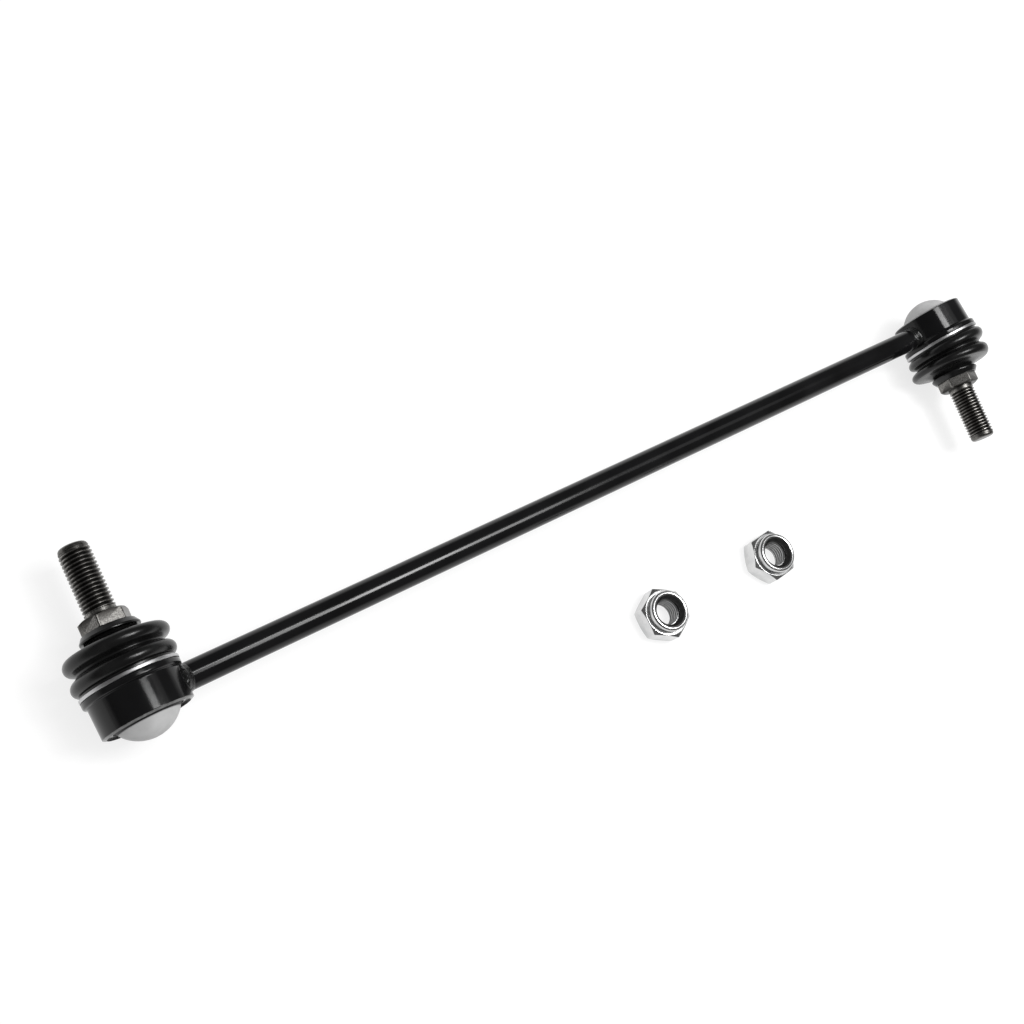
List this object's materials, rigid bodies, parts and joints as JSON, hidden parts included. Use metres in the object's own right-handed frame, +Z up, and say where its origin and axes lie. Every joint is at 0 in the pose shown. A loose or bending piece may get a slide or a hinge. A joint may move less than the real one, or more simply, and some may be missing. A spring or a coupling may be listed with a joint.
{
  "type": "stabilizer link",
  "caption": "Straight round-rod stabilizer link with a booted ball joint and threaded stud at each end, pointing opposite ways, with loose nylon-insert lock nuts beside it.",
  "frame": {"origin": "centre of the left stud's seating face, on the stud's axis", "axes": "+X along the rod towards the right joint, +Y along the left housing's axis on its stud's side, +Z up from the surface that the link lies on"},
  "size_m": [0.3895, 0.1103, 0.0326],
  "materials": {
    "black_coat": "glossy black coating on steel",
    "zinc_sheet": "matte grey zinc on pressed steel sheet",
    "seat_plastic": "natural acetal",
    "bright_ring": "bright spring steel",
    "boot_rubber": "satin black rubber",
    "disc_black": "satin black coating",
    "stud_phosphate": "dark phosphate on steel, worn bright on the crests",
    "nut_zinc": "bright zinc plating on steel",
    "insert_nylon": "black nylon"
  },
  "bodies": {
    "link": {"link_rod": "black_coat", "left_housing": "black_coat", "left_weld_bead": "black_coat", "left_end_cap": "zinc_sheet", "left_ball_seat": "seat_plastic", "left_clamp_ring": "bright_ring", "right_housing": "black_coat", "right_weld_bead": "black_coat", "right_end_cap": "zinc_sheet", "right_ball_seat": "seat_plastic", "right_clamp_ring": "bright_ring"},
    "left_gaiter": {"left_boot": "boot_rubber"},
    "left_retainer": {"left_retainer_disc": "disc_black"},
    "left_stud": {"left_ball_stud": "stud_phosphate"},
    "right_gaiter": {"right_boot": "boot_rubber"},
    "right_retainer": {"right_retainer_disc": "disc_black"},
    "right_stud": {"right_ball_stud": "stud_phosphate"},
    "left_nut": {"left_lock_nut": "nut_zinc", "left_nut_insert": "insert_nylon"},
    "right_nut": {"right_lock_nut": "nut_zinc", "right_nut_insert": "insert_nylon"}
  },
  "joints": [
    {"name": "left_turn", "type": "hinge", "parent": "link", "child": "left_gaiter", "pos_m": [-0.00113, -0.02708, 0], "axis": [0, 1, 0], "continuous": true},
    {"name": "left_swing", "type": "hinge", "parent": "left_gaiter", "child": "left_retainer", "pos_m": [-0.00113, -0.02708, 0], "axis": [0, 0, 1], "range_deg": [-19.6, 24.4], "deforming": ["left_boot"]},
    {"name": "left_spin", "type": "hinge", "parent": "left_retainer", "child": "left_stud", "pos_m": [-0.00113, -0.02708, 0], "axis": [0.0419, 0.9991, 0], "continuous": true},
    {"name": "right_turn", "type": "hinge", "parent": "link", "child": "right_gaiter", "pos_m": [0.35587, -0.02708, 0], "axis": [0, -1, 0], "continuous": true},
    {"name": "right_swing", "type": "hinge", "parent": "right_gaiter", "child": "right_retainer", "pos_m": [0.35587, -0.02708, 0], "axis": [0, 0, 1], "range_deg": [-13.5, 30.5], "deforming": ["right_boot"]},
    {"name": "right_spin", "type": "hinge", "parent": "right_retainer", "child": "right_stud", "pos_m": [0.35587, -0.02708, 0], "axis": [-0.1478, -0.989, 0], "continuous": true},
    {"name": "left_nut_lift", "type": "slide", "parent": "link", "child": "left_nut", "axis": [0, 0, 1], "range_m": [0, 0.06]},
    {"name": "right_nut_lift", "type": "slide", "parent": "link", "child": "right_nut", "axis": [0, 0, 1], "range_m": [0, 0.06]}
  ]
}
